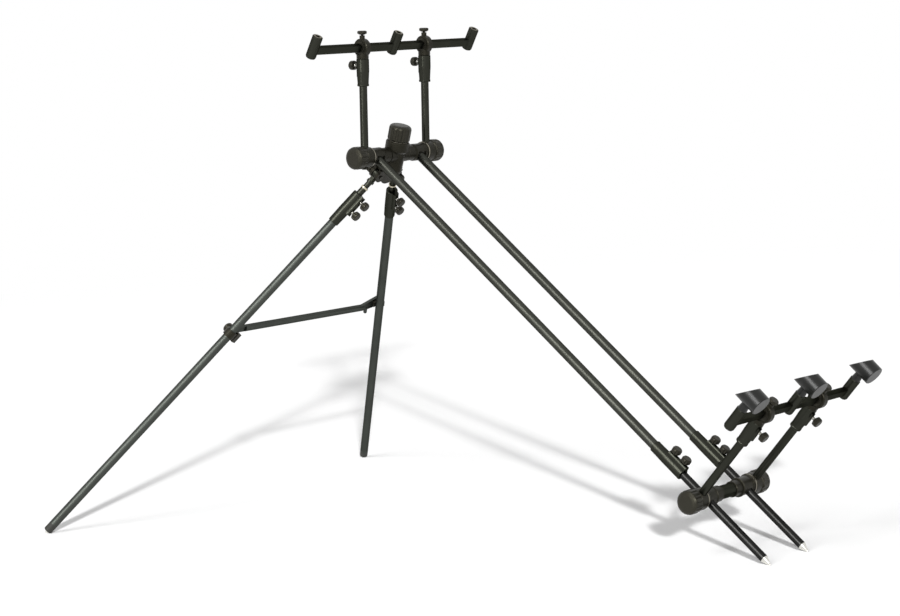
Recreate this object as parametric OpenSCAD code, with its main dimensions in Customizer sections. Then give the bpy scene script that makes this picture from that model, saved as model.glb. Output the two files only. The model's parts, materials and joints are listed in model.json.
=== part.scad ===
// Rod pod for three rods: two telescopic rails, two splayed legs, two adjustable buzz bars.
// Millimetres, +Z up, +X towards the angler, +Y to the angler's right, floor at z = 0.

/* [Stance] */
// slope of the rails below level, degrees
rail_drop = 39.4; // [35:0.2:43]
// front axle to the centre of the spike tip, along a rail
rail_reach = 1055; // [1000:5:1120]
// lean of the plane of the legs from upright, towards the water
leg_lean = 39; // [34:0.2:42]
// angle of each leg from the middle of that plane
leg_splay = 26.8; // [24:0.2:30]
// lean of the centre block and its knob, towards the angler
head_lean = 18; // [10:1:24]

/* [Cross bars] */
// radius of the axles that the cross bars are built on
axle_r = 6; // [5:0.1:7]
// distance of each rail from the middle
rail_y = 56; // [52:1:62]
// radius of the clamping drums that carry the uprights
drum_r = 18.5; // [17:0.5:20]
// width of a clamping drum along the axle
drum_w = 17; // [16:0.5:24]
// radius of the bright washers
washer_r = 18.2; // [17:0.2:20]
// thickness of a washer
washer_t = 2; // [1.5:0.1:3]
// radius of the centre block at its top flange
block_r = 22; // [21:0.5:24]
// end of a rail tube to the rear axle
rear_past = 58; // [54:1:80]

/* [Knobs and screws] */
// radius of the big clamping knobs
knob_r = 20.5; // [19:0.5:22]
// length of an end knob
knob_len = 22.5; // [18:0.5:26]
// height of the knob on the centre block
top_knob_h = 29; // [25:1:40]
// flutes round each big knob
knob_flutes = 12; // [8:1:16]
// radius of the heads of the thumbscrews
thumb_r = 8.6; // [7.6:0.1:9.6]
// thickness of those heads
thumb_t = 9; // [7:0.5:11]
// thickness of the flat heads on the ring clamps
flat_t = 5.4; // [4:0.2:7]
// lobes round each of those heads
thumb_lobes = 6; // [5:1:8]

/* [Rails] */
// outside radius of a rail tube
rail_r = 8.4; // [8:0.1:9]
// radius of the extension rod inside it
rod_r = 7.1; // [6:0.1:7.2]
// length of a rail tube, measured from the axle
rail_len = 839; // [800:1:860]
// length of the locking collars on rails and legs
collar_len = 71; // [66:1:78]
// radius of those collars
collar_r = 10.8; // [10.4:0.1:12]
// height of the screw rib of those collars, from the middle of the tube
rib_h = 17.2; // [15:0.2:19]
// length of the bright cone of a spike
spike_len = 14; // [12:1:20]

/* [Uprights] */
// outside radius of an upright tube
upright_r = 7.1; // [6.8:0.1:7.6]
// radius of the stick that slides in it
stick_r = 5.2; // [4.6:0.1:5.4]
// front axle to the front buzz bar
front_rise = 196; // [180:1:215]
// rear axle to the rear buzz bar
rear_rise = 206; // [185:1:220]
// lean of the front uprights, towards the angler
front_tilt = 3; // [-6:0.2:8]
// lean of the rear uprights, towards the angler
rear_tilt = 42.4; // [36:0.2:46]

/* [Buzz bars] */
// distance of the outer bosses from the middle, front bar
front_half = 210; // [180:1:230]
// distance of the outer bosses from the middle, rear bar
rear_half = 167; // [150:1:190]
// thickness of a buzz bar, along the rods
bar_w = 10; // [8:0.5:11]
// height of a buzz bar
bar_h = 13; // [11:0.5:14]
// radius of the bosses through the front bar
front_boss_r = 9.4; // [8.6:0.1:10.2]
// radius of the bosses through the rear bar
rear_boss_r = 9.2; // [8.4:0.1:10]
// tapping radius of the three-eighths thread in a boss
thread_r = 4.2; // [4:0.05:4.4]
// roll of the front bar in its clamps
front_roll = 28; // [10:1:40]
// roll of the rear bar in its clamps
rear_roll = 0; // [-5:1:15]

/* [Butt cradles] */
// outside radius of a cradle
cup_r = 17.4; // [15:0.2:19]
// wall of a cradle
cup_wall = 2.6; // [2:0.2:4]
// length of a cradle along its keel
cup_len = 45.5; // [40:0.5:50]
// how far the slanted mouth sets the top back from the keel
cup_cut = 24; // [14:1:28]

/* [Legs] */
// outside radius of a leg tube
leg_r = 8.2; // [7.9:0.1:8.8]
// radius of the stem that slides in it
stem_r = 6.3; // [5.8:0.1:6.4]
// middle of the axle to the pivot of a leg
leg_pivot = 50; // [47:1:54]
// middle of the axle to the upper end of a leg collar
leg_top = 99; // [96:1:110]
// length of a foot below its tube
foot_len = 18; // [14:1:28]
// length of the point that stands out of a foot
point_len = 4.5; // [3:0.5:6]

/* [Brace] */
// middle of the axle to the brace, along a leg
brace_at = 462; // [440:1:480]
// radius of the brace tube
brace_r = 6.5; // [5.4:0.1:6.6]

/* [Hidden] */
$fn = 48;
// running clearance between pieces that move on each other
gap = 0.3;
// stations along an axle, from the middle outwards
side_a = block_r + 2;
side_b = rail_y + rail_r + 3.1;
drum_a = side_b + 2 * gap + washer_t;
drum_b = drum_a + drum_w;
upright_y = drum_a + drum_w / 2;
knob_a = drum_b + 0.5;
knob_b = knob_a + knob_len;
axle_end = knob_b - knob_len / 4;
// the front stand is wider than the rear one, on each side by front_out
front_out = 4.5;
front_y = upright_y + front_out;
rear_y = upright_y;
// heights and lengths that follow from the stance; a leg stands on the upper edge of its foot's bevel
spike_r = 1.2;
hub_h = rail_reach * sin(rail_drop) + spike_r;
rear_at = rail_len + rear_past;
foot_edge = 1.4;
leg_down = cos(leg_lean) * cos(leg_splay);
leg_out = sin(leg_lean) * cos(leg_splay);
leg_len = (hub_h - leg_r * sqrt(1 - leg_down * leg_down)) / leg_down + foot_edge;
rear_lean = rear_tilt + rear_roll;
// how far rods and stems reach into their tubes
rod_inside = rail_len * 0.4;
stem_inside = leg_len * 0.34;
// bosses, from the middle of their bar, and the threaded part of each
boss_top = 28;
boss_low = -15;
thread_depth = 20;
// cradle: its keel over the bar, its rear end and closed floor, the bevel of its rear edge
cup_keel = boss_top + 11;
cup_tail = cup_len * 0.49;
cup_floor = 3;
cup_edge = 1;
// ring clamp that holds a bar, and the bush that turns in it
bush_r = sqrt(bar_w * bar_w + bar_h * bar_h) / 2 + 3.6;
clamp_r = bush_r + gap + 4.4;
clamp_w = 13;
clamp_neck = clamp_r + 5.5;
// short collars of the uprights end below the ring clamps; place of their screw below the top
head_drop = clamp_r + 3;
short_collar = 49;
short_collar_r = 11.4;
short_screw = 12;
short_rib = short_collar_r + 2.2;
// long collars: inner lip at the wide end, length and half width of the rib, twin screws
collar_lip = 3.4;
rib_len = 42;
rib_r = 5.6;
screw_z = [9.4, 33];
screw_r = 3;
lock_r = 2.5;
// stand-off of a thumbscrew's head from what it clamps: on a rail or ring, a leg, an upright and the yoke
thumb_off = 3;
leg_off = 6;
lock_off = 6.5;
pivot_off = 4;
// length of a cutter that goes right through what it cuts
through = 1.5 * rail_y;
// top of the centre block over the middle of the axle, stud of the knob in it
block_top = 25;
stud_r = 4;
// eye of a leg, plates of the yoke round it
eye_t = 8;
eye_r = 9.5;
plate_t = 6;
plate_r = 11;
pin_r = 3.5;
pivot_y = leg_pivot * sin(leg_splay);
pivot_z = leg_pivot * cos(leg_splay);
// brace: axis above the plane of the legs, stud inboard of the left leg, flat ends, rise of its plate
brace_x = leg_r + 7.6;
brace_y = brace_at * sin(leg_splay);
brace_z = brace_at * cos(leg_splay);
brace_in = 24;
brace_eye_t = 5;
brace_tongue = 36;
brace_flat = brace_y * 0.2;
brace_rise = 13;
hook_r = leg_r + 0.8;
// rear cross bar: middle tube, sleeve of a rail clamp round its end, body of that clamp
cross_r = 11.6;
cross_end = rail_y - rod_r - 8;
sleeve_at = rail_y - 37;
clamp_at = rail_y - 20;
// ends of the whole pod along X; the origin is put midway
x_foot = -(leg_len - foot_edge) * leg_out - leg_r * sqrt(1 - leg_out * leg_out);
cup_reach = max((cup_keel + 2 * cup_r - cup_edge) * sin(rear_lean) + cup_tail * cos(rear_lean),
  (cup_keel + 2 * cup_r) * sin(rear_lean) + (cup_tail - cup_edge) * cos(rear_lean));
x_cup = rear_at * cos(rail_drop) + rear_rise * sin(rear_tilt) + cup_reach;
x_mid = (x_foot + x_cup) / 2;

tube_black = "#3a3a34";
cast_black = "#33332f";
rod_black = "#1f1f1e";
bright_steel = "#c9c8c2";
alloy_grey = "#6b6a62";

// places: each one carries its children into the frame of one group of pieces

module hub() translate([-x_mid, 0, hub_h]) children();

module rear_hub() hub() rotate([0, rail_drop, 0]) translate([rear_at, 0, 0]) rotate([0, -rail_drop, 0])
  children();

module head() hub() rotate([0, head_lean, 0]) children();

// z runs down the rail, -x is its upper side
module rail_line(side) hub() translate([0, side * rail_y, 0]) rotate([0, 90 + rail_drop, 0]) children();

module front_stand() hub() rotate([0, front_tilt, 0]) children();

module front_outward() translate([0, front_out, 0]) children();

module rear_stand() rear_hub() rotate([0, rear_tilt, 0]) children();

module front_bar_place() front_stand() translate([0, 0, front_rise]) rotate([0, front_roll, 0]) children();

module rear_bar_place() rear_stand() translate([0, 0, rear_rise]) rotate([0, rear_roll, 0]) children();

// z runs down the middle of the plane of the legs, x is its upper (water) side
module leg_plane() hub() rotate([0, 180 + leg_lean, 0]) children();

module leg_line(side) leg_plane() rotate([-side * leg_splay, 0, 0]) children();

module both_sides() {
  children();
  mirror([0, 1, 0]) children();
}

// turns z into +y
module along_y() rotate([-90, 0, 0]) children();

// turns z into +x
module along_x() rotate([0, 90, 0]) children();

// shapes

module tube(outer, inner, from, to) {
  translate([0, 0, from]) difference() {
    cylinder(r = outer, h = to - from);
    translate([0, 0, -1]) cylinder(r = inner, h = to - from + 2);
  }
}

module rod(r, from, to) translate([0, 0, from]) cylinder(r = r, h = to - from);

// solid of revolution from [radius, height] points, closed along the axis
module turned(points) rotate_extrude() polygon(concat([[0, points[0][1]]], points,
  [[0, points[len(points) - 1][1]]]));

// domed knob with flutes, standing on z = 0
module fluted_knob(r, h, flutes) {
  flute_r = r * 0.16;
  difference() {
    turned([[r - 3, 0], [r - 0.6, 1.6], [r, 3], [r, h - 6], [r - 1, h - 3], [r - 3.4, h - 1], [r - 7, h]]);
    for (i = [0 : flutes - 1])
      rotate([0, 0, i * 360 / flutes]) translate([r + flute_r * 0.45, 0, -1])
        cylinder(r = flute_r, h = h - 3, $fn = 24);
  }
}

// thumbscrew along z with a lobed head: shank from tip to the head, which starts at head_at
module thumbscrew(shank_r, tip, head_at, head_r, head_t) {
  lobe_r = head_r * 0.3;
  rod(shank_r, tip, head_at + 1);
  translate([0, 0, head_at]) difference() {
    turned([[head_r * 0.55, -1.6], [head_r - 0.8, 0], [head_r, 0.8], [head_r, head_t * 0.7],
      [head_r - 0.8, head_t * 0.9], [head_r - 2.4, head_t]]);
    for (i = [0 : thumb_lobes - 1])
      rotate([0, 0, i * 360 / thumb_lobes]) translate([head_r + lobe_r * 0.45, 0, -2])
        cylinder(r = lobe_r, h = head_t + 4, $fn = 16);
  }
}

// long collar with a rib for its two screws on the -x side; wide end at z = 0
module twin_collar(tube_r, slide_r) {
  difference() {
    union() {
      turned([[collar_r - 1, 0], [collar_r, 1], [collar_r, collar_len * 0.6], [collar_r - 0.4, collar_len - 12],
        [tube_r + 2, collar_len - 1], [tube_r + 1.4, collar_len]]);
      translate([rib_r - rib_h, 0, 0]) {
        rod(rib_r, 0, rib_len);
        translate([0, -rib_r, 0]) cube([rib_h - rib_r, 2 * rib_r, rib_len]);
      }
    }
    translate([0, 0, -1]) cylinder(r = slide_r, h = collar_lip + 2);
    translate([0, 0, collar_lip]) cylinder(r = tube_r, h = collar_len);
    for (z = screw_z)
      translate([0, 0, z]) rotate([0, -90, 0]) cylinder(r = screw_r + gap, h = rib_h + 1);
  }
}

// tube with holes for the twin screws; lock is the place of the wide end of its collar
module locked_tube(outer, inner, from, to, lock, turn) {
  difference() {
    tube(outer, inner, from, to);
    for (z = screw_z)
      translate([0, 0, lock + turn * z]) rotate([0, -90, 0]) cylinder(r = screw_r + gap, h = outer + 2);
  }
}

// screw of a long collar, along -x
module collar_screw(slide_r, off) rotate([0, -90, 0])
  thumbscrew(screw_r, slide_r, rib_h + off, thumb_r, thumb_t);

// short collar of an upright, its top at z = 0, screw rib towards +x
module short_lock_collar() {
  lip = 5;
  rib_low = -short_screw - 20;
  difference() {
    union() {
      translate([0, 0, -short_collar]) turned([[upright_r + 2.6, 0], [upright_r + 3.4, 0.8],
        [upright_r + 3.4, 3.4], [upright_r + 2.9, 4.2], [upright_r + 3.3, 12],
        [short_collar_r, short_collar * 0.55], [short_collar_r, short_collar - 1],
        [short_collar_r - 1, short_collar]]);
      translate([short_rib - lock_r * 2, 0, 0]) rod(lock_r * 2, rib_low, -short_screw + 6);
      translate([0, -lock_r * 2, rib_low]) cube([short_rib - lock_r * 2, lock_r * 4, 26]);
    }
    translate([0, 0, -lip - 1]) cylinder(r = stick_r + gap, h = lip + 2);
    translate([0, 0, -short_collar - 1]) cylinder(r = upright_r, h = short_collar - lip + 1);
    translate([0, 0, -short_screw]) along_x() cylinder(r = lock_r + gap, h = short_rib + 1);
  }
}

// one clamping drum with its upright socket, drawn on the +y side
module drum() {
  plug_r = upright_r - 1.4;
  difference() {
    union() {
      translate([0, drum_a, 0]) along_y() turned([[drum_r - 1, 0], [drum_r, 1], [drum_r, drum_w - 1],
        [drum_r - 1, drum_w]]);
      translate([0, upright_y, 0]) rod(plug_r, -drum_r - 3.4, 0);
    }
    translate([0, drum_a - 1, 0]) along_y() cylinder(r = axle_r + gap, h = drum_w + 2);
    translate([0, upright_y, axle_r + 2]) cylinder(r = upright_r, h = drum_r);
  }
}

// one upright tube, +y side; the lock screw passes towards +x turned by lock_turn
module upright(rise, lock_turn) {
  top = rise - head_drop - 5;
  translate([0, upright_y, 0]) difference() {
    tube(upright_r, stick_r + gap, axle_r + 2, top);
    translate([0, 0, rise - head_drop - short_screw]) rotate([0, 0, lock_turn]) along_x()
      cylinder(r = lock_r + gap, h = upright_r + 2);
  }
}

// ring clamp on the stick that is pressed into its shoulder, ring centre at the origin
module ring_clamp(rise) {
  socket = -clamp_r + 1;
  press = 0.05;
  rod(stick_r, -rise + axle_r + 14, socket);
  difference() {
    union() {
      translate([0, -clamp_w / 2, 0]) along_y() turned([[clamp_r - 1.4, 0], [clamp_r, 1.4],
        [clamp_r, clamp_w - 1.4], [clamp_r - 1.4, clamp_w]]);
      rod(lock_r + 2.3, 0, clamp_neck);
      rod(short_collar_r - 0.4, -head_drop + gap, -clamp_r + 7);
    }
    rod(stick_r + press, -head_drop - 1, socket + press);
    translate([0, -clamp_w, 0]) along_y() cylinder(r = bush_r + gap, h = 2 * clamp_w);
    rod(lock_r + gap, bush_r - 2, clamp_neck + 1);
  }
}

// bush with the square hole of the bar
module bush() {
  difference() {
    translate([0, -clamp_w / 2 - 1, 0]) along_y() cylinder(r = bush_r, h = clamp_w + 2);
    translate([-bar_w / 2, -clamp_w, -bar_h / 2]) cube([bar_w, 2 * clamp_w, bar_h]);
  }
}

// bar with three threaded bosses, round at their lower ends
module buzz_bar(half, boss_r) {
  boss_len = boss_top - boss_low;
  difference() {
    union() {
      translate([-bar_w / 2, -half, -bar_h / 2]) cube([bar_w, 2 * half, bar_h]);
      for (y = [-half, 0, half])
        translate([0, y, boss_low]) turned([[boss_r - 3.4, 0], [boss_r - 1.2, 1.2], [boss_r, 4],
          [boss_r, boss_len - 1], [boss_r - 1, boss_len]]);
    }
    for (y = [-half, 0, half])
      translate([0, y, boss_top - thread_depth]) cylinder(r = thread_r, h = thread_depth + 1);
  }
}

// butt cradle on its stud: a tube along x, closed at the rear, with a slanted mouth at the front
module cradle() {
  nose = cup_len - cup_tail;
  slant = cup_cut / (2 * cup_r);
  over = 2;
  difference() {
    union() {
      translate([-nose, 0, cup_keel + cup_r]) along_x() turned([[cup_r, 0], [cup_r, cup_len - cup_edge],
        [cup_r - cup_edge, cup_len]]);
      translate([0, 0, boss_top]) turned([[rear_boss_r - 1, 0], [rear_boss_r - 2.2, cup_keel - boss_top + 2]]);
    }
    translate([-nose - 1, 0, cup_keel + cup_r]) along_x()
      cylinder(r = cup_r - cup_wall, h = cup_len - cup_floor + 1);
    translate([0, cup_r + 1, cup_keel]) rotate([90, 0, 0]) linear_extrude(2 * cup_r + 2)
      polygon([[-nose - slant * over, -over], [-nose + cup_cut + slant * over, 2 * cup_r + over],
        [-nose - cup_len, 2 * cup_r + over], [-nose - cup_len, -over]]);
  }
  rod(thread_r, boss_top - thread_depth + 3, cup_keel + 1.5);
}

// front head

// leaning block: foot, body and the flange that the top knob stands on
module block_form() head() turned([[block_r - 9, -36], [block_r - 6, -30], [block_r - 5, 4], [block_r, 9],
  [block_r, block_top - 2], [block_r - 1.6, block_top]]);

module hub_block() {
  color(cast_black) difference() {
    union() {
      block_form();
      hub() translate([0, -side_a, 0]) along_y() cylinder(r = axle_r + 8.5, h = 2 * side_a);
    }
    hub() translate([0, -rail_y, 0]) along_y() cylinder(r = axle_r, h = 2 * rail_y);
    head() rod(stud_r + gap, axle_r + 3, block_top + 1);
  }
}

module front_axle() color(alloy_grey) hub() translate([0, -axle_end - front_out, 0]) along_y()
  cylinder(r = axle_r, h = 2 * (axle_end + front_out));

// outline of a yoke plate, seen along x with z down the legs: a fan round both pivots
module yoke_outline() {
  for (side = [-1, 1])
    translate([side * pivot_y, pivot_z]) circle(r = plate_r);
  translate([0, pivot_z - plate_r / 2]) circle(r = pivot_y - 1);
  translate([-pivot_y - plate_r * 0.6, pivot_z - plate_r - 3]) square([2 * pivot_y + plate_r * 1.2, plate_r + 3]);
}

// two fan plates hang from a foot under the block and take the eyes of the legs between them
module leg_yoke() {
  half = eye_t / 2 + gap;
  foot_z = pivot_z - plate_r - 8;
  color(cast_black) difference() {
    leg_plane() {
      translate([-half - plate_t, -pivot_y - 3, foot_z]) cube([2 * (half + plate_t), 2 * pivot_y + 6, 7]);
      for (x = [-half - plate_t, half])
        translate([x, 0, 0]) rotate([90, 0, 90]) linear_extrude(plate_t) yoke_outline();
    }
    for (side = [-1, 1])
      leg_plane() translate([-through / 2, side * pivot_y, pivot_z]) along_x()
        cylinder(r = pin_r + gap, h = through);
    block_form();
  }
}

module front_washers() color(bright_steel) hub() both_sides() front_outward() washer();

module washer() {
  translate([0, side_b + gap, 0]) along_y() tube(washer_r, axle_r, 0, washer_t);
}

module hub_knob() color(cast_black) head() {
  translate([0, 0, block_top + 1.4]) fluted_knob(knob_r, top_knob_h, knob_flutes);
  rod(stud_r, axle_r + 3.4, block_top + 4);
}

module end_knob() {
  translate([0, knob_a, 0]) along_y() difference() {
    fluted_knob(knob_r, knob_len, knob_flutes);
    translate([0, 0, -1]) cylinder(r = axle_r + gap, h = axle_end - knob_a + 1 + gap);
  }
}

module front_knob_left() color(cast_black) hub() mirror([0, 1, 0]) front_outward() end_knob();

module front_knob_right() color(cast_black) hub() front_outward() end_knob();

// rails

// each knuckle has a flat where its rail enters
module rail_knuckles() {
  mid = rail_y - side_a - gap;
  wide = side_b + front_out - side_a - gap;
  flat_w = rail_r + 1.5;
  color(cast_black) both_sides() difference() {
    hub() translate([0, side_a + gap, 0]) along_y() turned([[13, 0], [14, 1], [14, mid - 16], [15.6, mid - 12],
      [15.6, mid + 5], [16.6, wide - 2], [16.6, wide]]);
    hub() translate([0, side_a - 1, 0]) along_y() cylinder(r = axle_r + gap, h = wide + 4);
    rail_line(1) rod(rail_r, axle_r + 2.5, through);
    rail_line(1) translate([-through / 2, -flat_w, axle_r + 5.4]) cube([through, 2 * flat_w, through]);
  }
}

module rail_tubes() color(tube_black) both_sides() rail_line(1)
  locked_tube(rail_r, rod_r + gap, axle_r + 2.5, rail_len, rail_len + collar_lip, -1);

module rail_collars() color(tube_black) both_sides() rail_line(1)
  translate([0, 0, rail_len + collar_lip]) mirror([0, 0, 1]) twin_collar(rail_r, rod_r + gap);

module rail_screw(side, z) color(cast_black) rail_line(side) translate([0, 0, rail_len + collar_lip - z])
  collar_screw(rod_r + gap, thumb_off);

module rail_screw_left_upper() rail_screw(-1, screw_z[1]);

module rail_screw_left_lower() rail_screw(-1, screw_z[0]);

module rail_screw_right_upper() rail_screw(1, screw_z[1]);

module rail_screw_right_lower() rail_screw(1, screw_z[0]);

module rail_rods() color(rod_black) both_sides() rail_line(1)
  rod(rod_r, rail_len - rod_inside, rail_reach - spike_len);

module rail_spikes() color(bright_steel) both_sides() rail_line(1) {
  translate([0, 0, rail_reach - spike_len]) cylinder(r1 = rod_r, r2 = spike_r, h = spike_len);
  translate([0, 0, rail_reach]) sphere(r = spike_r);
}

// front uprights and buzz bar; their lock screws face the water

module front_drums() color(cast_black) both_sides() front_stand() front_outward() drum();

module front_uprights() color(tube_black) both_sides() front_stand() front_outward()
  upright(front_rise, 180);

module lock_collar(y, rise, turn) translate([0, y, rise - head_drop]) rotate([0, 0, turn])
  short_lock_collar();

module front_collars() color(tube_black) front_stand() for (y = [-front_y, front_y])
  lock_collar(y, front_rise, 180);

module upright_lock(y, rise, turn) translate([0, y, rise - head_drop - short_screw])
  rotate([0, 0, turn]) along_x() thumbscrew(lock_r, stick_r + gap, short_rib + lock_off, thumb_r, thumb_t);

module front_lock_left() color(cast_black) front_stand() upright_lock(-front_y, front_rise, 180);

module front_lock_right() color(cast_black) front_stand() upright_lock(front_y, front_rise, 180);

module clamps(place, rise) for (y = [-place, place]) translate([0, y, rise]) ring_clamp(rise);

module front_clamps() color(cast_black) front_stand() clamps(front_y, front_rise);

module clamp_screw(y, rise) translate([0, y, rise])
  thumbscrew(lock_r, bush_r + gap, clamp_neck + thumb_off, thumb_r, flat_t);

module front_clamp_screw_left() color(cast_black) front_stand() clamp_screw(-front_y, front_rise);

module front_clamp_screw_right() color(cast_black) front_stand() clamp_screw(front_y, front_rise);

module bushes(place) for (y = [-place, place]) translate([0, y, 0]) bush();

module front_bushes() color(cast_black) front_bar_place() bushes(front_y);

module front_buzz_bar() color(tube_black) front_bar_place() buzz_bar(front_half, front_boss_r);

// rear cross bar, uprights and buzz bar

// the middle tube ends inside the sleeves of the rail clamps
module rear_crossbar() color(tube_black) rear_hub() translate([0, -cross_end, 0]) along_y()
  cylinder(r = cross_r, h = 2 * cross_end);

// each rail clamp has a sleeve for the middle tube and carries the stub axle of its drum and knob
module rear_rail_clamps() {
  sleeve = clamp_at - sleeve_at;
  body = side_b - clamp_at;
  stub = rail_y + rod_r + 3;
  color(cast_black) both_sides() difference() {
    rear_hub() {
      translate([0, sleeve_at, 0]) along_y() turned([[cross_r + 1, 0], [cross_r + 2, 1],
        [cross_r + 2, sleeve + 1]]);
      translate([0, clamp_at, 0]) along_y() turned([[15, 0], [16.4, 1], [16.4, 4], [15.4, 5], [15.4, body - 6],
        [16.6, body - 3], [16.6, body]]);
      translate([0, stub, 0]) along_y() cylinder(r = axle_r, h = axle_end - stub);
    }
    rear_hub() along_y() cylinder(r = cross_r, h = cross_end);
    rail_line(1) rod(rod_r + gap, rear_at - through, rear_at + through);
  }
}

module rear_washers() color(bright_steel) rear_hub() both_sides() washer();

module rear_knob_left() color(cast_black) rear_hub() mirror([0, 1, 0]) end_knob();

module rear_knob_right() color(cast_black) rear_hub() end_knob();

module rear_drums() color(cast_black) both_sides() rear_stand() drum();

module rear_uprights() color(tube_black) both_sides() rear_stand() upright(rear_rise, 0);

module rear_collars() color(tube_black) rear_stand() for (y = [-rear_y, rear_y]) lock_collar(y, rear_rise, 0);

module rear_lock_left() color(cast_black) rear_stand() upright_lock(-rear_y, rear_rise, 0);

module rear_lock_right() color(cast_black) rear_stand() upright_lock(rear_y, rear_rise, 0);

module rear_clamps() color(cast_black) rear_stand() clamps(rear_y, rear_rise);

module rear_clamp_screw_left() color(cast_black) rear_stand() clamp_screw(-rear_y, rear_rise);

module rear_clamp_screw_right() color(cast_black) rear_stand() clamp_screw(rear_y, rear_rise);

module rear_bushes() color(cast_black) rear_bar_place() bushes(rear_y);

module rear_buzz_bar() color(tube_black) rear_bar_place() buzz_bar(rear_half, rear_boss_r);

module butt_cradles() color(rod_black) rear_bar_place() for (y = [-rear_half, 0, rear_half])
  translate([0, y, 0]) cradle();

// legs

// flat eye on the pivot pin, a thin neck, a shoulder ring, then the round stem that slides in the leg tube
module leg_stem(side) {
  ring_at = (leg_pivot + 2 * leg_top) / 3;
  neck_r = stem_r - 1.1;
  color(tube_black) leg_line(side) difference() {
    union() {
      translate([-eye_t / 2, 0, leg_pivot]) along_x() cylinder(r = eye_r, h = eye_t);
      translate([-eye_t / 2, -neck_r, leg_pivot]) cube([eye_t, 2 * neck_r, 18]);
      rod(stem_r + 0.9, leg_pivot + 16, leg_pivot + 21);
      rod(neck_r, leg_pivot + 20, ring_at + 1);
      rod(stem_r + 0.5, ring_at, ring_at + 2.4);
      rod(stem_r, ring_at + 1, leg_top + stem_inside);
    }
    translate([-through / 2, 0, leg_pivot]) along_x() cylinder(r = pin_r + gap, h = through);
  }
}

module leg_stem_left() leg_stem(-1);

module leg_stem_right() leg_stem(1);

module leg_tube(side) color(tube_black) leg_line(side)
  locked_tube(leg_r, stem_r + gap, leg_top + collar_lip, leg_len - foot_len, leg_top, 1);

module leg_tube_left() leg_tube(-1);

module leg_tube_right() leg_tube(1);

module leg_collar(side) color(tube_black) leg_line(side) translate([0, 0, leg_top])
  twin_collar(leg_r, stem_r + gap);

module leg_collar_left() leg_collar(-1);

module leg_collar_right() leg_collar(1);

module leg_screw(side, z) color(cast_black) leg_line(side) translate([0, 0, leg_top + z])
  collar_screw(stem_r + gap, leg_off);

module leg_screw_left_upper() leg_screw(-1, screw_z[0]);

module leg_screw_left_lower() leg_screw(-1, screw_z[1]);

module leg_screw_right_upper() leg_screw(1, screw_z[0]);

module leg_screw_right_lower() leg_screw(1, screw_z[1]);

// pivot pin with its thumb head on the upper side of the yoke for the left leg, on the lower for the right one
module leg_pivot_pin(side) {
  half = eye_t / 2 + gap + plate_t;
  color(cast_black) leg_plane() translate([0, side * pivot_y, pivot_z]) rotate([0, -side * 90, 0])
    thumbscrew(pin_r, -half - 2, half + pivot_off, thumb_r, thumb_t);
}

module leg_pivot_left() leg_pivot_pin(-1);

module leg_pivot_right() leg_pivot_pin(1);

// foot flush with the leg tube, with a plug in its end and a short point
module foot(side) color(cast_black) leg_line(side) {
  rod(stem_r + gap, leg_len - 2 * foot_len, leg_len - foot_len + 1);
  translate([0, 0, leg_len - foot_len]) turned([[leg_r, 0], [leg_r, foot_len - foot_edge],
    [leg_r - foot_edge, foot_len], [leg_r - 4, foot_len], [leg_r - 6.4, foot_len + point_len]]);
}

module foot_left() foot(-1);

module foot_right() foot(1);

// brace between the legs, on the water side of them

// tongue on the stud of the clamp, round tube, rising fishtail plate with a peg below it
module brace_bar() {
  stud_y = -brace_y + brace_in;
  tube_from = stud_y + brace_tongue;
  plate_from = brace_y - brace_flat;
  tail = 7;
  flare = 5;
  color(tube_black) leg_plane() translate([brace_x, 0, brace_z]) difference() {
    union() {
      translate([-brace_eye_t / 2, stud_y, 0]) along_x() cylinder(r = brace_r + 3, h = brace_eye_t);
      translate([-brace_eye_t / 2, stud_y, -brace_r]) cube([brace_eye_t, brace_tongue + 6, 2 * brace_r]);
      translate([0, tube_from, 0]) along_y() cylinder(r = brace_r, h = plate_from + 6 - tube_from);
      translate([-brace_eye_t / 2, 0, 0]) rotate([90, 0, 90]) linear_extrude(brace_eye_t)
        polygon([[plate_from, -brace_r], [brace_y - tail, -brace_r - brace_rise - flare],
          [brace_y + tail, -brace_r - brace_rise - flare], [brace_y + tail, brace_r - brace_rise + flare],
          [plate_from + 14, brace_r], [plate_from, brace_r]]);
      translate([0, plate_from + 17, 0]) rotate([-25, 0, 0]) rod(brace_eye_t * 0.7, 0, 16);
    }
    translate([-through / 2, stud_y, 0]) along_x() cylinder(r = pin_r + gap, h = through);
  }
}

// split ring on the left leg tube: pinch ears on its lower side, an arm with the brace's stud on its upper side
module brace_clamp() {
  ring_r = leg_r + 2.8;
  half = 7;
  arm_from = leg_r + 0.7;
  arm_t = brace_x - brace_eye_t / 2 - gap - arm_from;
  stud_out = brace_in * cos(leg_splay);
  ear = [8, 11, 20];
  split = 1.2;
  color(cast_black) leg_line(-1) translate([0, 0, brace_at - brace_in * sin(leg_splay)]) {
    difference() {
      union() {
        rod(ring_r, -half, half);
        translate([arm_from, 0, -half]) cube([arm_t, stud_out, 2 * half]);
        translate([arm_from, stud_out, 0]) along_x() cylinder(r = half, h = arm_t);
        translate([-ring_r, leg_r - 2, -ear[2] / 2]) cube(ear);
      }
      rod(leg_r + gap, -through, through);
      translate([-ring_r + (ear[0] - split) / 2, 0, -through / 2]) cube([split, through, through]);
    }
    translate([arm_from, stud_out, 0]) along_x() cylinder(r = pin_r, h = brace_x - arm_from + 8);
  }
}

// open hook round the outer side of the right leg, riveted to the plate of the brace
module brace_hook() {
  wall = 3.6;
  half = 7;
  color(cast_black) leg_line(1) translate([0, 0, brace_at - brace_rise]) {
    difference() {
      rod(hook_r + wall, -half, half);
      rod(hook_r, -through, through);
      translate([-through, -through, -through]) cube([through, 2 * through, 2 * through]);
      translate([-1, -through, -through]) cube([through, through, 2 * through]);
    }
    translate([hook_r, -half, -half]) cube([brace_x - brace_eye_t / 2 - hook_r, 2 * half, 2 * half]);
  }
}

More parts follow.
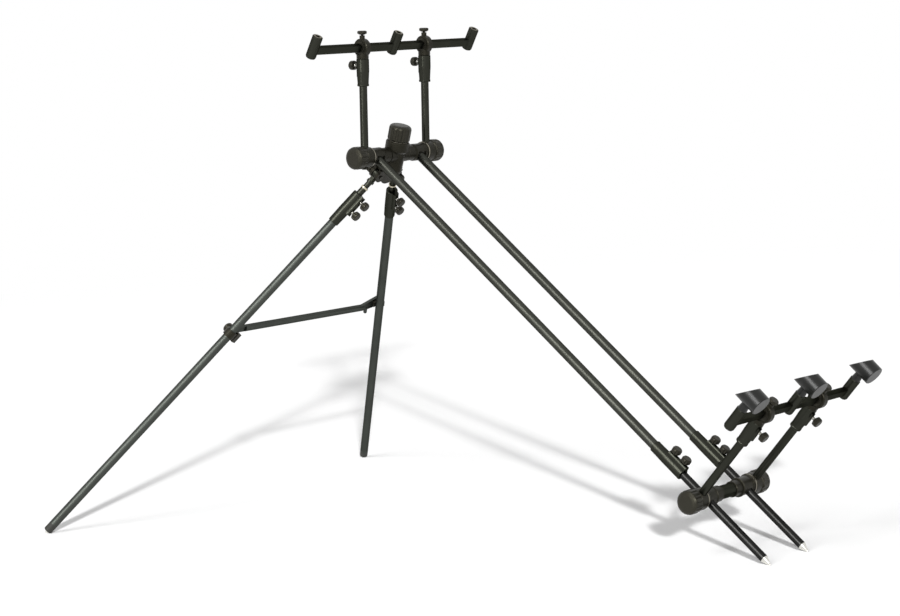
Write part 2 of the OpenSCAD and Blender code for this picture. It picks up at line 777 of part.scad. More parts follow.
module brace_knob() {
  foot = brace_x + brace_eye_t / 2 + gap;
  color(cast_black) leg_plane() translate([foot, -brace_y + brace_in, brace_z]) along_x() difference() {
    turned([[7.6, 0], [9.6, 1.2], [9.6, 7], [8, 9], [4.6, 9.6]]);
    translate([0, 0, -1]) cylinder(r = pin_r + gap, h = 7);
  }
}

hub_block();
front_axle();
leg_yoke();
front_washers();
hub_knob();
front_knob_left();
front_knob_right();
rail_knuckles();
rail_tubes();
rail_collars();
rail_screw_left_upper();
rail_screw_left_lower();
rail_screw_right_upper();
rail_screw_right_lower();
rail_rods();
rail_spikes();
front_drums();
front_uprights();
front_collars();
front_lock_left();
front_lock_right();
front_clamps();
front_clamp_screw_left();
front_clamp_screw_right();
front_bushes();
front_buzz_bar();
rear_crossbar();
rear_rail_clamps();
rear_washers();
rear_knob_left();
rear_knob_right();
rear_drums();
rear_uprights();
rear_collars();
rear_lock_left();
rear_lock_right();
rear_clamps();
rear_clamp_screw_left();
rear_clamp_screw_right();
rear_bushes();
rear_buzz_bar();
butt_cradles();
leg_stem_left();
leg_stem_right();
leg_tube_left();
leg_tube_right();
leg_collar_left();
leg_collar_right();
leg_screw_left_upper();
leg_screw_left_lower();
leg_screw_right_upper();
leg_screw_right_lower();
leg_pivot_left();
leg_pivot_right();
foot_left();
foot_right();
brace_bar();
brace_clamp();
brace_hook();
brace_knob();
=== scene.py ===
"""Finishes of a rod pod: anodised tubes, painted castings, moulded knobs, bright steel, rubber; white studio."""

import json
import math

import bpy
import numpy as np
from bpy.props import FloatProperty, FloatVectorProperty, IntProperty, PointerProperty
from mathutils import Matrix, Vector


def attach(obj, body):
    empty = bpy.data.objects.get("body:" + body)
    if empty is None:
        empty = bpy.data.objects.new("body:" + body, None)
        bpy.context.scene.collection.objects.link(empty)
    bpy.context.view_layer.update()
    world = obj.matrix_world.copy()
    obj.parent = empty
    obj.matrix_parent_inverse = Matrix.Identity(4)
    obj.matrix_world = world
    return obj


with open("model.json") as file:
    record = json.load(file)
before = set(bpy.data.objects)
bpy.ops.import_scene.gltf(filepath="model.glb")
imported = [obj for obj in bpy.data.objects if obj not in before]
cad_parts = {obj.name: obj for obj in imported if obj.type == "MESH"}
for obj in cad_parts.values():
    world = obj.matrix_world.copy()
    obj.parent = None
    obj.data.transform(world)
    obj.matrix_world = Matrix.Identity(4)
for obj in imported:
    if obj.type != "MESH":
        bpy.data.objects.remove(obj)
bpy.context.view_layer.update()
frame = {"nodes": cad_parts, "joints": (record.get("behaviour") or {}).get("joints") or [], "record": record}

bl_info = {
    "name": "Rod pod finishes",
    "version": (1, 0, 0),
    "blender": (4, 5, 0),
    "location": "View3D > Sidebar > Rod pod",
    "description": "Gives the rod pod its finishes, small bright fittings and studio",
    "category": "Object",
}

MM = 0.001
JOINTS = {joint["name"]: joint for joint in frame["joints"]}
SIDES = ("left", "right")
ACROSS, UPRIGHT, LENGTHWISE = (0.0, 1.0, 0.0), (0.0, 0.0, 1.0), (1.0, 0.0, 0.0)
SHARP_FROM = math.radians(35)

# Patterns that all finishes share
CLOUD_MM = 40.0                   # size of the clouds in the tone
TONES = (0.6, 1.4)                # darkest and lightest tone, as shares of the colour
GLOSS_SPAN = (0.3, 0.7)           # part of the pattern over which the gloss varies
EDGE_MM = 0.7                     # radius at which edges wear
EDGE_WEAR = (0.97, 0.80)          # cosine to the rounded normal where that wear begins, and where it is full
BUMP_STRENGTH = 0.5
DARK_EDGE = (0.4, 0.4, 0.4, 1.0)  # tint that keeps dark metal dark where it is seen at a slant

# Leg rings and foot points, in mm; places are counted down the leg from its pivot
STEM_R = 6.3
RING_FROM_PIVOT = 32.2
RING_SINK = 0.2                   # how deep a ring sits in its stem
RING_BEVEL = (0.3, 0.4)           # its bevels, inwards and along the stem
FOOT_FROM_PIVOT = 909.975
POINT_SECTION = ((4.35, -0.3), (4.35, 0.1), (1.9, 4.55))  # (radius, height) from foot to tip

# Thread mouths of the front bar, in mm
MOUTH_GAP = 0.05                  # clearance round the bore
MOUTH_PROUD = 0.35                # height over the boss
MOUTH_RIM = 0.4                   # depth of the rim in the boss
MOUTH_NECK = (0.6, 1.5)           # wall and depth of the neck in the bore
MOUTH_FLARE = (0.5, 0.1)          # width of the flare, and the depth that it starts at

# Ring under the top knob: closed section of (radius, height) in mm from the knob's joint
KNOB_RING_SECTION = ((6.0, -4.7), (6.0, -3.7), (17.6, -3.7), (18.2, -4.0), (18.2, -4.4), (17.6, -4.7))

# Thumbscrews by the start of their joint's name: radius of the shank, start of the thread from the joint and
# length of the thread, in mm
SCREWS = {
    "rail_screw_turn": (3.0, 0.1, 1.3),
    "leg_screw_turn": (3.0, 0.1, 4.2),
    "leg_pivot_turn": (3.5, 10.5, 2.1),
    "front_lock_turn": (2.5, -4.2, 4.6),
    "rear_lock_turn": (2.5, -4.2, 4.6),
    "front_clamp_screw_turn": (2.5, 2.1, 1.2),
    "rear_clamp_screw_turn": (2.5, 2.1, 1.2),
}
RIDGE_SINK = 0.1                  # share of a thread's depth that lies in the shank
RIDGE_HALF = 0.45                 # half of its foot, in pitches
RIDGE_FADE = 3                    # it sinks away at each end over one turn divided by this
KNOB_KINDS = ("knob", "screw", "lock_", "leg_pivot")  # in the names of nodes that are knobs and thumbscrews

# Lamps: where they stand, as turn from the x axis and rise over the floor, and how wide they look, in degrees
KEY_FROM, KEY_WIDE, SHADOW_WIDE = (-44.0, 19.5), 1.5, 3.6
STRIP_TURN, STRIP_RISE, STRIP_WIDE = -86.0, (4, 22, 40), 18.0

# Floor: radii of its rings and its drop below the feet in metres, and points in a ring
FLOOR_RINGS, FLOOR_DROP, FLOOR_STEPS = (0.01, 4.0, 16.0, 60.0), 0.0004, 96
WHITE = (1.0, 1.0, 1.0, 1.0)

# The photograph's frame, and the lens and the place that were fitted to it
PHOTO_WIDTH = 900
FOCAL_PX = 2400
SENSOR_MM = 36.0
EYE_MM = (2780.8, -3235.7, 861.6)
EYE_YAW, EYE_PITCH, EYE_ROLL = (math.radians(a) for a in (-41.34, 6.228, -3.235))
CAMERA_REACH = 200.0              # in metres


# properties

def linear(code):
    """sRGB hex colour as linear red, green and blue."""
    parts = [int(code[i:i + 2], 16) / 255 for i in (1, 3, 5)]
    return tuple(c / 12.92 if c <= 0.04045 else ((c + 0.055) / 1.055) ** 2.4 for c in parts)


def colour(label, words, code):
    """Colour property with its default from a hex value."""
    return FloatVectorProperty(name=label, description=words, subtype="COLOR", size=3, min=0, max=1,
                               default=linear(code))


def length(label, words, value_mm):
    """Length property in metres with its default in millimetres."""
    return FloatProperty(name=label, description=words, subtype="DISTANCE", unit="LENGTH", min=0,
                         default=value_mm * MM)


def strength(label, words, value):
    """Light strength property."""
    return FloatProperty(name=label, description=words, min=0, default=value)


class PodColours(bpy.types.PropertyGroup):
    """Colours of the pod's finishes."""

    tube: colour("Tube", "Dark satin anodising of the rails", "#40413c")
    # painted light: the leg grey is made lighter than the rails' to stand in for the light that the white floor
    # throws up onto the legs and brace; its bluish cast is the anodising's own
    leg: colour("Leg", "Dark grey satin anodising of legs and brace", "#474a46")
    bar: colour("Bar", "Black anodising of uprights, collars and bars", "#33342e")
    casting: colour("Casting", "Black paint of the block, drums and clamps", "#181712")
    knob: colour("Knob", "Moulded nylon of the knobs and screw heads", "#1a1915")
    rod: colour("Rod", "Gloss black of the extension rods", "#2c2c2b")
    steel: colour("Steel", "Bright turned steel of the spikes, points and screws", "#d8d7d1")
    plate: colour("Plating", "Dull plating of the washers and of the ring under the top knob", "#8a867a")
    alloy: colour("Alloy", "Plain turned alloy of the stem rings and the axle", "#c2bba6")
    mouth: colour("Thread mouth", "Dull alloy round the threads of the front bar", "#6f6a5b")
    cradle: colour("Cradle", "Firm rubber of the butt cradles", "#121311")
    foot: colour("Foot", "Rubber of the feet", "#2a2b27")
    warm: colour("Warm cast", "Tint of the light that black paint and nylon throw back", "#fffae0")
    floor: colour("Floor", "Studio floor", "#f3f3f3")


class PodSizes(bpy.types.PropertyGroup):
    """Sizes of the small fittings that are added to the solids."""

    ring_wide: length("Stem ring width", "Width of the bright ring on a leg stem", 3.4)
    ring_proud: length("Stem ring height", "How far that ring stands out from the stem", 0.9)
    mouth_wide: length("Thread mouth width", "Width of the plain edge round a boss thread", 3.2)
    thread_pitch: length("Thread pitch", "Pitch of the thumbscrews", 1.0)
    thread_deep: length("Thread depth", "Depth of the thumbscrews' thread", 0.55)
    thread_steps: IntProperty(name="Thread steps", description="Points in one turn of a thread", min=12,
                              default=28)


class PodStage(bpy.types.PropertyGroup):
    """Light and floor of the studio."""

    key: strength("Key light", "Strength of the low light beside the camera", 1.7)
    shadow: strength("Shadow light", "Strength of the light on the floor alone", 3.8)
    strip: strength("Strip light", "Strength of the tall light on the left", 2.7)
    fill: strength("Fill", "Strength of the light from all round", 0.2)
    lift: FloatProperty(name="Floor lift", description="Share of the floor's white that is its own where seen",
                        subtype="FACTOR", min=0, max=1, default=0.06)
    clear: length("Clear floor", "Distance from the middle at which the floor has turned pure white", 5200)


def settings():
    """The property groups of the scene: colours, sizes and stage."""
    scene = bpy.context.scene
    return scene.pod_colours, scene.pod_sizes, scene.pod_stage


# materials

def node(tree, kind, inputs=(), **attributes):
    """Adds one node; inputs are pairs of a socket's name or number and a value or a socket to link."""
    made = tree.nodes.new(kind)
    for name, value in attributes.items():
        setattr(made, name, value)
    for name, value in dict(inputs).items():
        if isinstance(value, bpy.types.NodeSocket):
            tree.links.new(value, made.inputs[name])
        else:
            made.inputs[name].default_value = value
    return made


def along(axis):
    """Turn that carries the z axis onto the given direction."""
    return Vector(axis).to_track_quat("Z", "Y").to_euler()


def rgba(rgb, gain=1.0):
    """Linear colour with its alpha, made gain times brighter."""
    return (rgb[0] * gain, rgb[1] * gain, rgb[2] * gain, 1.0)


def new_material(name):
    """Node material with an empty tree."""
    material = bpy.data.materials.new(name)
    material.use_nodes = True
    tree = material.node_tree
    tree.nodes.clear()
    return material, tree


def patterned(name, rgb, axis, *, streak_mm, grain_mm, bump_mm, rough, spread, edge, fixed):
    """One finish: streaks of streak_mm (across, along) turned to axis vary the colour, and the gloss by spread;
    grains of grain_mm raise the surface by bump_mm; edges wear to a colour that is edge times brighter. The
    values in fixed are set on the shader's own sockets."""
    material, tree = new_material(name)
    coords = node(tree, "ShaderNodeTexCoord").outputs["Object"]
    across, run = (size * MM for size in streak_mm)
    turned = node(tree, "ShaderNodeMapping",
                  {"Vector": coords, "Rotation": along(axis), "Scale": (across, across, run)},
                  vector_type="TEXTURE").outputs["Vector"]
    streak = node(tree, "ShaderNodeTexNoise", {"Vector": turned, "Scale": 1.0, "Detail": 3.0}).outputs["Fac"]
    grain = node(tree, "ShaderNodeTexNoise",
                 {"Vector": coords, "Scale": 1 / (grain_mm * MM), "Detail": 2.0}).outputs["Fac"]
    cloud = node(tree, "ShaderNodeTexNoise",
                 {"Vector": coords, "Scale": 1 / (CLOUD_MM * MM), "Detail": 3.0}).outputs["Fac"]
    total = node(tree, "ShaderNodeMath", {0: streak, 1: cloud}, operation="ADD").outputs["Value"]
    pattern = node(tree, "ShaderNodeMath", {0: total, 1: 0.5}, operation="MULTIPLY").outputs["Value"]
    shade = node(tree, "ShaderNodeMix", {0: pattern, 6: rgba(rgb, TONES[0]), 7: rgba(rgb, TONES[1])},
                 data_type="RGBA").outputs[2]
    rounded = node(tree, "ShaderNodeBevel", {"Radius": EDGE_MM * MM}, samples=4).outputs["Normal"]
    flat = node(tree, "ShaderNodeNewGeometry").outputs["Normal"]
    facing = node(tree, "ShaderNodeVectorMath", {0: rounded, 1: flat},
                  operation="DOT_PRODUCT").outputs["Value"]
    worn = node(tree, "ShaderNodeMapRange",
                {"Value": facing, "From Min": EDGE_WEAR[0], "From Max": EDGE_WEAR[1]}).outputs["Result"]
    patchy = node(tree, "ShaderNodeMath", {0: worn, 1: grain}, operation="MULTIPLY").outputs["Value"]
    base = node(tree, "ShaderNodeMix", {0: patchy, 6: shade, 7: rgba(rgb, edge)}, data_type="RGBA").outputs[2]
    gloss = node(tree, "ShaderNodeMapRange",
                 {"Value": pattern, "From Min": GLOSS_SPAN[0], "From Max": GLOSS_SPAN[1],
                  "To Min": rough - spread, "To Max": rough + spread}).outputs["Result"]
    raised = node(tree, "ShaderNodeBump",
                  {"Height": grain, "Strength": BUMP_STRENGTH, "Distance": bump_mm * MM}).outputs["Normal"]
    surface = node(tree, "ShaderNodeBsdfPrincipled",
                   {"Base Color": base, "Roughness": gloss, "Normal": raised, **fixed}).outputs["BSDF"]
    node(tree, "ShaderNodeOutputMaterial", {"Surface": surface})
    return material


def anodised_aluminium(part, axis, rgb, rough):
    """Extruded and dyed aluminium: a dark metal with a satin line of light, fine draw lines along the tube, edges
    that stay dark and a faint olive cast."""
    # draw lines are about 0.1 mm apart; 0.7 mm is drawn so that they show from a step away
    return patterned(f"anodised_aluminium_{part}", rgb, axis, streak_mm=(0.7, 90.0), grain_mm=0.6,
                     bump_mm=0.002, rough=rough, spread=0.015, edge=1.8,
                     fixed={"Metallic": 1.0, "Specular Tint": DARK_EDGE})


def painted_casting(rgb, warm):
    """Die-cast zinc under black paint: slightly wavy skin, soft gloss, paint rubbed lighter on the edges."""
    return patterned("painted_die_casting", rgb, UPRIGHT, streak_mm=(9.0, 9.0), grain_mm=1.4, bump_mm=0.03,
                     rough=0.4, spread=0.06, edge=2.4,
                     fixed={"Specular IOR Level": 0.2, "Specular Tint": rgba(warm)})


def moulded_nylon(rgb, warm):
    """Glass-filled nylon from a spark-eroded mould: matt, with a fine even grain."""
    # the grain is about 0.2 mm; 0.5 mm is drawn so that it shows
    return patterned("moulded_nylon", rgb, UPRIGHT, streak_mm=(6.0, 6.0), grain_mm=0.5, bump_mm=0.03,
                     rough=0.38, spread=0.05, edge=2.0,
                     fixed={"Specular IOR Level": 0.3, "Specular Tint": rgba(warm)})


def enamelled_steel(axis, rgb):
    """Steel rod under black stove enamel: deep black with a sharp white line of light along it."""
    return patterned("black_stove_enamel", rgb, axis, streak_mm=(1.5, 60.0), grain_mm=2.5, bump_mm=0.008,
                     rough=0.28, spread=0.03, edge=1.6, fixed={"Metallic": 1.0, "Specular Tint": DARK_EDGE})


def turned_metal(name, axis, rgb, rough):
    """Bright metal from the lathe: fine rings round the axis, each with its own gloss."""
    # feed marks are about 0.1 mm apart; 0.5 mm is drawn so that they show
    return patterned(name, rgb, axis, streak_mm=(30.0, 0.5), grain_mm=0.9, bump_mm=0.015,
                     rough=rough, spread=0.08, edge=1.1, fixed={"Metallic": 1.0})


def moulded_rubber(name, rgb, rough):
    """Firm rubber from a smooth mould: broad soft highlights and faint cloudy bloom."""
    return patterned(name, rgb, UPRIGHT, streak_mm=(14.0, 14.0), grain_mm=0.8, bump_mm=0.006,
                     rough=rough, spread=0.03, edge=1.5, fixed={"Specular IOR Level": 0.34})


def dress(material, *names):
    """Gives CAD nodes a finish through their material slots."""
    for name in names:
        for slot in frame["nodes"][name].material_slots:
            slot.material = material


# shapes

def frame_at(origin, axis):
    """The origin as an array and three unit vectors, the last one along axis."""
    w = np.asarray(axis, float) / np.linalg.norm(axis)
    u = np.cross(w, ACROSS if abs(w[1]) < 0.9 else LENGTHWISE)
    u /= np.linalg.norm(u)
    return np.asarray(origin, float), u, np.cross(w, u), w


def grid_faces(rows, columns, close_rows, close_columns):
    """Quads of a grid of points, joined round its ends where it is closed."""
    i, j = np.meshgrid(np.arange(rows if close_rows else rows - 1),
                       np.arange(columns if close_columns else columns - 1), indexing="ij")
    i, j = i.ravel(), j.ravel()
    k, l = (i + 1) % rows, (j + 1) % columns
    return np.stack([i * columns + j, k * columns + j, k * columns + l, i * columns + l], axis=1)


def put_mesh(name, points, faces, material, body, slot_name):
    """Makes a smooth piece from arrays of points and faces, riding on a body."""
    mesh = bpy.data.meshes.new(name)
    mesh.from_pydata(points, [], faces)
    mesh.polygons.foreach_set("use_smooth", np.ones(len(mesh.polygons), bool))
    mesh.set_sharp_from_angle(angle=SHARP_FROM)
    mesh.materials.append(material)
    mesh.update()
    piece = bpy.data.objects.new(name, mesh)
    bpy.context.collection.objects.link(piece)
    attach(piece, body)


def swept(origin, axis, section, steps):
    """Section of (radius, height) points in mm carried round the axis, as rings of points: point(i, j) =
    origin + radius_i (cos a_j u + sin a_j v) + height_i w, with u and v square to the axis w."""
    o, u, v, w = frame_at(origin, axis)
    radius, height = np.asarray(section, float).T * MM
    angle = np.linspace(0, 2 * np.pi, steps, endpoint=False)
    spoke = np.cos(angle)[:, None] * u + np.sin(angle)[:, None] * v
    return o + radius[:, None, None] * spoke + height[:, None, None] * w


def turned_ring(origin, axis, section, steps=64):
    """Closed section swept round the axis; it runs up the inside and down the outside."""
    rings = swept(origin, axis, section, steps)
    return rings.reshape(-1, 3), grid_faces(len(section), steps, True, True).tolist()


def turned_point(origin, axis, section, steps=48):
    """Open section swept round the axis from its foot to its tip, each end closed by a fan of triangles round
    the middle of its ring."""
    rings = swept(origin, axis, section, steps)
    points = np.concatenate([rings.reshape(-1, 3), rings[[0, -1]].mean(axis=1)])
    here = np.arange(steps)
    after = (here + 1) % steps
    top = (len(section) - 1) * steps
    foot_fan = np.stack([after, here, np.full(steps, len(points) - 2)], axis=1)
    tip_fan = np.stack([top + here, top + after, np.full(steps, len(points) - 1)], axis=1)
    sides = grid_faces(len(section), steps, False, True)[:, ::-1]
    return points, sides.tolist() + foot_fan.tolist() + tip_fan.tolist()


def helix_thread(origin, axis, radius, deep, pitch, span, steps):
    """Three-point ridge carried along a helix, its foot and crest deep apart and the foot just inside radius; it
    rises by pitch for each turn over span, and sinks into the shank at both ends."""
    o, u, v, w = frame_at(origin, axis)
    count = int(round(span / pitch * steps)) + 1
    turn = np.linspace(0, 2 * np.pi * span / pitch, count)
    rise = np.linspace(0, span, count)
    fade = np.clip(np.minimum(np.arange(count), np.arange(count)[::-1]) / (steps / RIDGE_FADE), 0, 1)
    spoke = np.cos(turn)[:, None] * u + np.sin(turn)[:, None] * v
    foot = np.full(count, radius - RIDGE_SINK * deep)
    crest = radius + deep * (fade - RIDGE_SINK)
    rows = [(foot, -RIDGE_HALF), (crest, 0.0), (foot, RIDGE_HALF)]
    points = np.stack([o + r[:, None] * spoke + (rise + shift * pitch)[:, None] * w for r, shift in rows])
    faces = grid_faces(len(rows), count, True, False).tolist()
    ends = [[0, count, 2 * count], [3 * count - 1, 2 * count - 1, count - 1]]
    return points.reshape(-1, 3), faces + ends


# operators

class POD_OT_tubes(bpy.types.Operator):
    """Anodised finish of every tube, collar and bar, with its draw lines along the tube"""

    bl_idname = "pod.tubes"
    bl_label = "Tubes"

    def execute(self, context):
        tints = settings()[0]
        slides = ("rods_extend", "front_lift_rise", "rear_lift_rise")
        rail, front, rear = (JOINTS[name]["axis"] for name in slides)
        # name of the finish, direction of its draw lines, colour, roughness and the nodes that have it
        runs = [("rails", rail, tints.tube, 0.36, ["rail_tubes"]),
                ("rail_collars", rail, tints.bar, 0.3, ["rail_collars"]),
                ("front", front, tints.bar, 0.28, ["front_uprights", "front_collars"]),
                ("rear", rear, tints.bar, 0.3, ["rear_uprights", "rear_collars"]),
                ("bars", ACROSS, tints.bar, 0.36, ["front_buzz_bar", "rear_buzz_bar", "rear_crossbar"]),
                # the brace takes the leg grey, whose extra lightness is painted light thrown up from the floor
                ("brace", ACROSS, tints.leg, 0.4, ["brace_bar"])]
        for side in SIDES:
            down = JOINTS[f"leg_extend_{side}"]["axis"]
            # the leg grey is lighter than the rails' as painted light thrown up from the white floor
            runs.append((f"leg_{side}", down, tints.leg, 0.42, [f"leg_tube_{side}"]))
            runs.append((f"leg_top_{side}", down, tints.bar, 0.3, [f"leg_stem_{side}", f"leg_collar_{side}"]))
        for part, axis, tint, rough, names in runs:
            dress(anodised_aluminium(part, axis, tint, rough), *names)
        return {"FINISHED"}


class POD_OT_castings(bpy.types.Operator):
    """Painted finish of the block, yoke, knuckles, drums and clamps"""

    bl_idname = "pod.castings"
    bl_label = "Castings"

    def execute(self, context):
        tints = settings()[0]
        dress(painted_casting(tints.casting, tints.warm), "hub_block", "leg_yoke", "rail_knuckles",
              "front_drums", "rear_drums", "front_clamps", "rear_clamps", "rear_rail_clamps", "brace_clamp")
        return {"FINISHED"}


class POD_OT_knobs(bpy.types.Operator):
    """Moulded finish of the knobs, thumbscrews, bushes and hook"""

    bl_idname = "pod.knobs"
    bl_label = "Knobs and screws"

    def execute(self, context):
        tints = settings()[0]
        names = [name for name in frame["nodes"] if any(kind in name for kind in KNOB_KINDS)]
        dress(moulded_nylon(tints.knob, tints.warm), *names, "front_bushes", "rear_bushes", "brace_hook")
        return {"FINISHED"}


class POD_OT_rods(bpy.types.Operator):
    """Gloss black enamel of the extension rods"""

    bl_idname = "pod.rods"
    bl_label = "Rods"

    def execute(self, context):
        dress(enamelled_steel(JOINTS["rods_extend"]["axis"], settings()[0].rod), "rail_rods")
        return {"FINISHED"}


class POD_OT_steel(bpy.types.Operator):
    """Bright turned spikes, dull plated washers and the plain alloy of the axle"""

    bl_idname = "pod.steel"
    bl_label = "Bright metal"

    def execute(self, context):
        tints = settings()[0]
        rail = JOINTS["rods_extend"]["axis"]
        dress(turned_metal("turned_steel_spike", rail, tints.steel, rough=0.3), "rail_spikes")
        dress(turned_metal("plated_steel_washer", ACROSS, tints.plate, rough=0.34), "front_washers",
              "rear_washers")
        dress(turned_metal("turned_alloy_axle", ACROSS, tints.alloy, rough=0.34), "front_axle")
        return {"FINISHED"}


class POD_OT_rubber(bpy.types.Operator):
    """Rubber of the butt cradles and the feet"""

    bl_idname = "pod.rubber"
    bl_label = "Rubber"

    def execute(self, context):
        tints = settings()[0]
        dress(moulded_rubber("moulded_rubber_cradle", tints.cradle, rough=0.3), "butt_cradles")
        dress(moulded_rubber("moulded_rubber_foot", tints.foot, rough=0.6), "foot_left", "foot_right")
        return {"FINISHED"}


class POD_OT_stem_rings(bpy.types.Operator):
    """Bright ring at the shoulder of each leg stem, and the bright point of each foot"""

    bl_idname = "pod.stem_rings"
    bl_label = "Leg rings and points"

    def execute(self, context):
        tints, sizes, _ = settings()
        wide, proud = sizes.ring_wide / MM, sizes.ring_proud / MM
        inner, outer = STEM_R - RING_SINK, STEM_R + proud
        inwards, lengthways = RING_BEVEL
        section = [(inner, 0), (inner, wide), (outer - inwards, wide), (outer, wide - lengthways),
                   (outer, lengthways), (outer - inwards, 0)]
        for side in SIDES:
            pivot = np.array(JOINTS[f"leg_fold_{side}"]["pos_m"])
            down = np.array(JOINTS[f"leg_extend_{side}"]["axis"])
            alloy = turned_metal(f"turned_alloy_ring_{side}", down, tints.alloy, rough=0.3)
            shape = turned_ring(pivot + down * RING_FROM_PIVOT * MM, down, section)
            put_mesh(f"stem_ring_{side}", *shape, alloy, f"leg_{side}", "plain_alloy")
            steel = turned_metal(f"turned_steel_point_{side}", down, tints.steel, rough=0.3)
            shape = turned_point(pivot + down * FOOT_FROM_PIVOT * MM, down, POINT_SECTION)
            put_mesh(f"foot_point_{side}", *shape, steel, f"leg_slider_{side}", "bright_steel")
        return {"FINISHED"}


class POD_OT_boss_mouths(bpy.types.Operator):
    """Plain alloy edge round the mouth of each threaded boss of the front bar"""

    bl_idname = "pod.boss_mouths"
    bl_label = "Thread mouths"

    def execute(self, context):
        tints, sizes, _ = settings()
        wide = sizes.mouth_wide / MM
        wall, neck = MOUTH_NECK
        flare, flare_deep = MOUTH_FLARE
        mounts = frame["record"]["mounts"]
        alloy = turned_metal("turned_alloy_mouth", mounts[0]["axis"], tints.mouth, rough=0.36)
        for mount in mounts:
            axis, size = np.array(mount["axis"]), mount["dims"]
            top = np.array(mount["pos_m"]) + axis * size["length_mm"] / 2 * MM
            bore = size["r_mm"] + MOUTH_GAP
            section = [(bore, -neck), (bore, -flare_deep), (bore + flare, MOUTH_PROUD),
                       (bore + wide, MOUTH_PROUD), (bore + wide, -MOUTH_RIM), (bore + wall, -neck)]
            name = mount["name"].replace("alarm", "thread_mouth")
            put_mesh(name, *turned_ring(top, axis, section), alloy, "front_bar", "plain_alloy")
        return {"FINISHED"}


class POD_OT_screw_threads(bpy.types.Operator):
    """Thread on the bare shank of each thumbscrew, and the plated ring under the top knob"""

    bl_idname = "pod.screw_threads"
    bl_label = "Screw threads"

    def execute(self, context):
        tints, sizes, _ = settings()
        for name, joint in JOINTS.items():
            kind = next((kind for kind in SCREWS if name.startswith(kind)), None)
            if kind is None:
                continue
            shank, start, span = SCREWS[kind]
            axis = np.array(joint["axis"])
            foot = np.array(joint["pos_m"]) + axis * start * MM
            steel = turned_metal(f"screw_steel_{name}", axis, tints.steel, rough=0.3)
            shape = helix_thread(foot, axis, shank * MM, sizes.thread_deep, sizes.thread_pitch, span * MM,
                                 sizes.thread_steps)
            put_mesh(name.replace("turn", "thread"), *shape, steel, joint["child"], "bright_steel")
        joint = JOINTS["hub_knob_turn"]
        plated = turned_metal("turned_alloy_knob_ring", joint["axis"], tints.plate, rough=0.3)
        shape = turned_ring(joint["pos_m"], joint["axis"], KNOB_RING_SECTION)
        put_mesh("hub_knob_ring", *shape, plated, "hub_knob", "bright_steel")
        return {"FINISHED"}


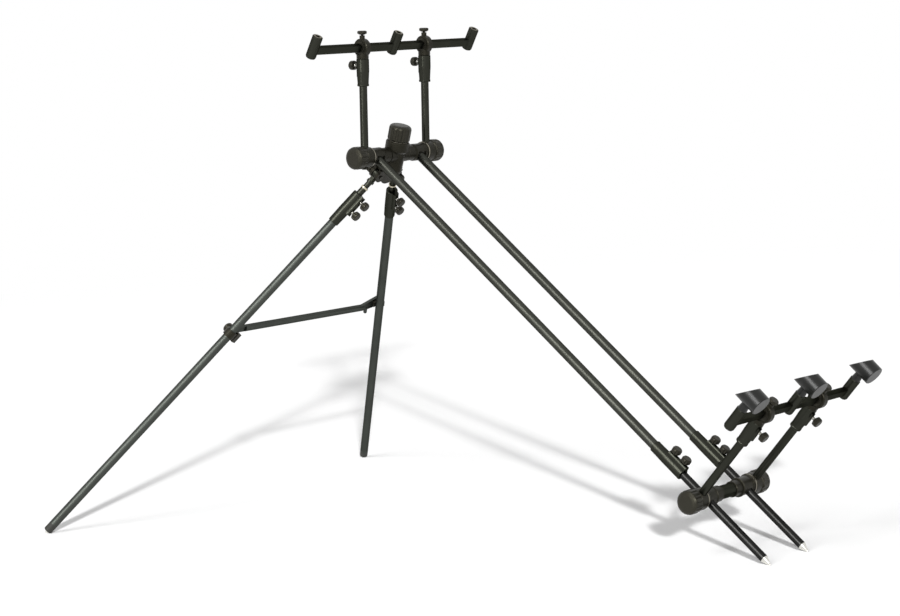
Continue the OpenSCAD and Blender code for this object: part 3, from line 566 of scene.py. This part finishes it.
class POD_OT_studio(bpy.types.Operator):
    """White floor that keeps the shadows, soft light and the camera of the photograph"""

    bl_idname = "pod.studio"
    bl_label = "Studio"

    def execute(self, context):
        tints, _, stage = settings()
        scene = context.scene
        scene.view_settings.view_transform = "Standard"
        self.make_world(scene, stage.fill)
        floor = self.make_floor(context, tints.floor, stage.lift, stage.clear)
        self.make_lamps(context, stage, floor)
        self.make_camera(scene)
        return {"FINISHED"}

    @staticmethod
    def seen_rays(tree):
        """1 for rays that show the background: from the camera, off gloss and through clear things."""
        path = node(tree, "ShaderNodeLightPath").outputs
        gloss = node(tree, "ShaderNodeMath", {0: path["Is Camera Ray"], 1: path["Is Glossy Ray"]},
                     operation="MAXIMUM").outputs["Value"]
        return node(tree, "ShaderNodeMath", {0: gloss, 1: path["Is Transmission Ray"]},
                    operation="MAXIMUM").outputs["Value"]

    def make_world(self, scene, fill):
        """White where it is seen, a softer fill as a light."""
        world = bpy.data.worlds.new("studio")
        world.use_nodes = True
        scene.world = world
        tree = world.node_tree
        tree.nodes.clear()
        level = node(tree, "ShaderNodeMapRange",
                     {"Value": self.seen_rays(tree), "To Min": fill, "To Max": 1.0}).outputs["Result"]
        white = node(tree, "ShaderNodeBackground", {"Color": WHITE, "Strength": level}).outputs["Background"]
        node(tree, "ShaderNodeOutputWorld", {"Surface": white})

    def make_floor(self, context, rgb, lift, clear):
        """Large pale disc of rings round the middle, under the pod. Part of its white is its own for rays that
        see it, and away from the pod all of it, so that it meets the background without a line."""
        material, tree = new_material("studio_floor")
        seen = self.seen_rays(tree)
        glow = node(tree, "ShaderNodeMath", {0: seen, 1: lift}, operation="MULTIPLY").outputs["Value"]
        paper = node(tree, "ShaderNodeBsdfPrincipled",
                     {"Base Color": rgba(rgb), "Roughness": 0.9, "Specular IOR Level": 0.0,
                      "Emission Color": WHITE, "Emission Strength": glow}).outputs["BSDF"]
        white = node(tree, "ShaderNodeEmission", {"Color": WHITE, "Strength": seen}).outputs["Emission"]
        place = node(tree, "ShaderNodeTexCoord").outputs["Object"]
        reach = node(tree, "ShaderNodeVectorMath", {0: place}, operation="LENGTH").outputs["Value"]
        away = node(tree, "ShaderNodeMapRange", {"Value": reach, "From Min": clear / 2, "From Max": clear},
                    interpolation_type="SMOOTHSTEP").outputs["Result"]
        both = node(tree, "ShaderNodeMixShader", {0: away, 1: paper, 2: white}).outputs["Shader"]
        node(tree, "ShaderNodeOutputMaterial", {"Surface": both})
        radius = np.array(FLOOR_RINGS)
        angle = np.linspace(0, 2 * np.pi, FLOOR_STEPS, endpoint=False)
        spoke = np.stack([np.cos(angle), np.sin(angle), 0 * angle], axis=1)
        points = radius[:, None, None] * spoke - np.array([0, 0, FLOOR_DROP])
        middle = list(range(FLOOR_STEPS))
        faces = grid_faces(len(radius), FLOOR_STEPS, False, True).tolist() + [middle]
        mesh = bpy.data.meshes.new("studio_floor")
        mesh.from_pydata(points.reshape(-1, 3), [], faces)
        mesh.materials.append(material)
        floor = bpy.data.objects.new("studio_floor", mesh)
        context.collection.objects.link(floor)
        return floor

    @staticmethod
    def make_lamps(context, stage, floor):
        """Low key beside the camera, a lamp from the same place that lights the floor alone and so deepens the
        key's shadow there, and on the left a tall strip of three soft lamps, whose reflection is the line along
        the tubes."""
        strip = stage.strip / len(STRIP_RISE)
        lamps = [("key", stage.key, KEY_WIDE, KEY_FROM), ("shadow", stage.shadow, SHADOW_WIDE, KEY_FROM)]
        lamps += [(f"strip_{rise}", strip, STRIP_WIDE, (STRIP_TURN, rise)) for rise in STRIP_RISE]
        for name, energy, wide, (turn, rise) in lamps:
            light = bpy.data.lights.new(name, "SUN")
            light.energy, light.angle = energy, math.radians(wide)
            lamp = bpy.data.objects.new(name, light)
            lamp.rotation_euler = (math.radians(90 - rise), 0.0, math.radians(90 + turn))
            context.collection.objects.link(lamp)
        alone = bpy.data.collections.new("floor_alone")
        alone.objects.link(floor)
        bpy.data.objects["shadow"].light_linking.receiver_collection = alone

    @staticmethod
    def make_camera(scene):
        """Camera at the fitted place: it looks by yaw and pitch and is rolled about its line of sight."""
        yaw, pitch, roll = EYE_YAW, EYE_PITCH, EYE_ROLL
        ahead = Vector((math.sin(yaw) * math.cos(pitch), math.cos(yaw) * math.cos(pitch), -math.sin(pitch)))
        level = Vector((math.cos(yaw), -math.sin(yaw), 0.0))
        over = level.cross(ahead)
        right = math.cos(roll) * level + math.sin(roll) * over
        up = math.cos(roll) * over - math.sin(roll) * level
        lens = bpy.data.cameras.new("photo_camera")
        lens.sensor_fit, lens.sensor_width = "HORIZONTAL", SENSOR_MM
        lens.lens = SENSOR_MM * FOCAL_PX / PHOTO_WIDTH
        lens.clip_end = CAMERA_REACH
        camera = bpy.data.objects.new("photo_camera", lens)
        turn = Matrix((right, up, -ahead)).transposed().to_4x4()
        camera.matrix_world = Matrix.Translation(Vector(EYE_MM) * MM) @ turn
        scene.collection.objects.link(camera)
        scene.camera = camera


class POD_PT_panel(bpy.types.Panel):
    """Lists the finishes and the studio"""

    bl_idname = "POD_PT_panel"
    bl_label = "Rod pod"
    bl_space_type = "VIEW_3D"
    bl_region_type = "UI"
    bl_category = "Rod pod"

    def draw(self, context):
        for step in STEPS:
            self.layout.operator(step.bl_idname)
        for group in settings():
            for name in group.__annotations__:
                self.layout.prop(group, name)


GROUPS = {"pod_colours": PodColours, "pod_sizes": PodSizes, "pod_stage": PodStage}
STEPS = (POD_OT_tubes, POD_OT_castings, POD_OT_knobs, POD_OT_rods, POD_OT_steel, POD_OT_rubber,
         POD_OT_stem_rings, POD_OT_boss_mouths, POD_OT_screw_threads, POD_OT_studio)
CLASSES = (*GROUPS.values(), *STEPS, POD_PT_panel)


def register():
    for item in CLASSES:
        bpy.utils.register_class(item)
    for name, group in GROUPS.items():
        setattr(bpy.types.Scene, name, PointerProperty(type=group))


def unregister():
    for name in GROUPS:
        delattr(bpy.types.Scene, name)
    for item in reversed(CLASSES):
        bpy.utils.unregister_class(item)


def main():
    register()
    for step in STEPS:
        group, name = step.bl_idname.split(".")
        getattr(getattr(bpy.ops, group), name)()


if __name__ == "__main__":
    main()
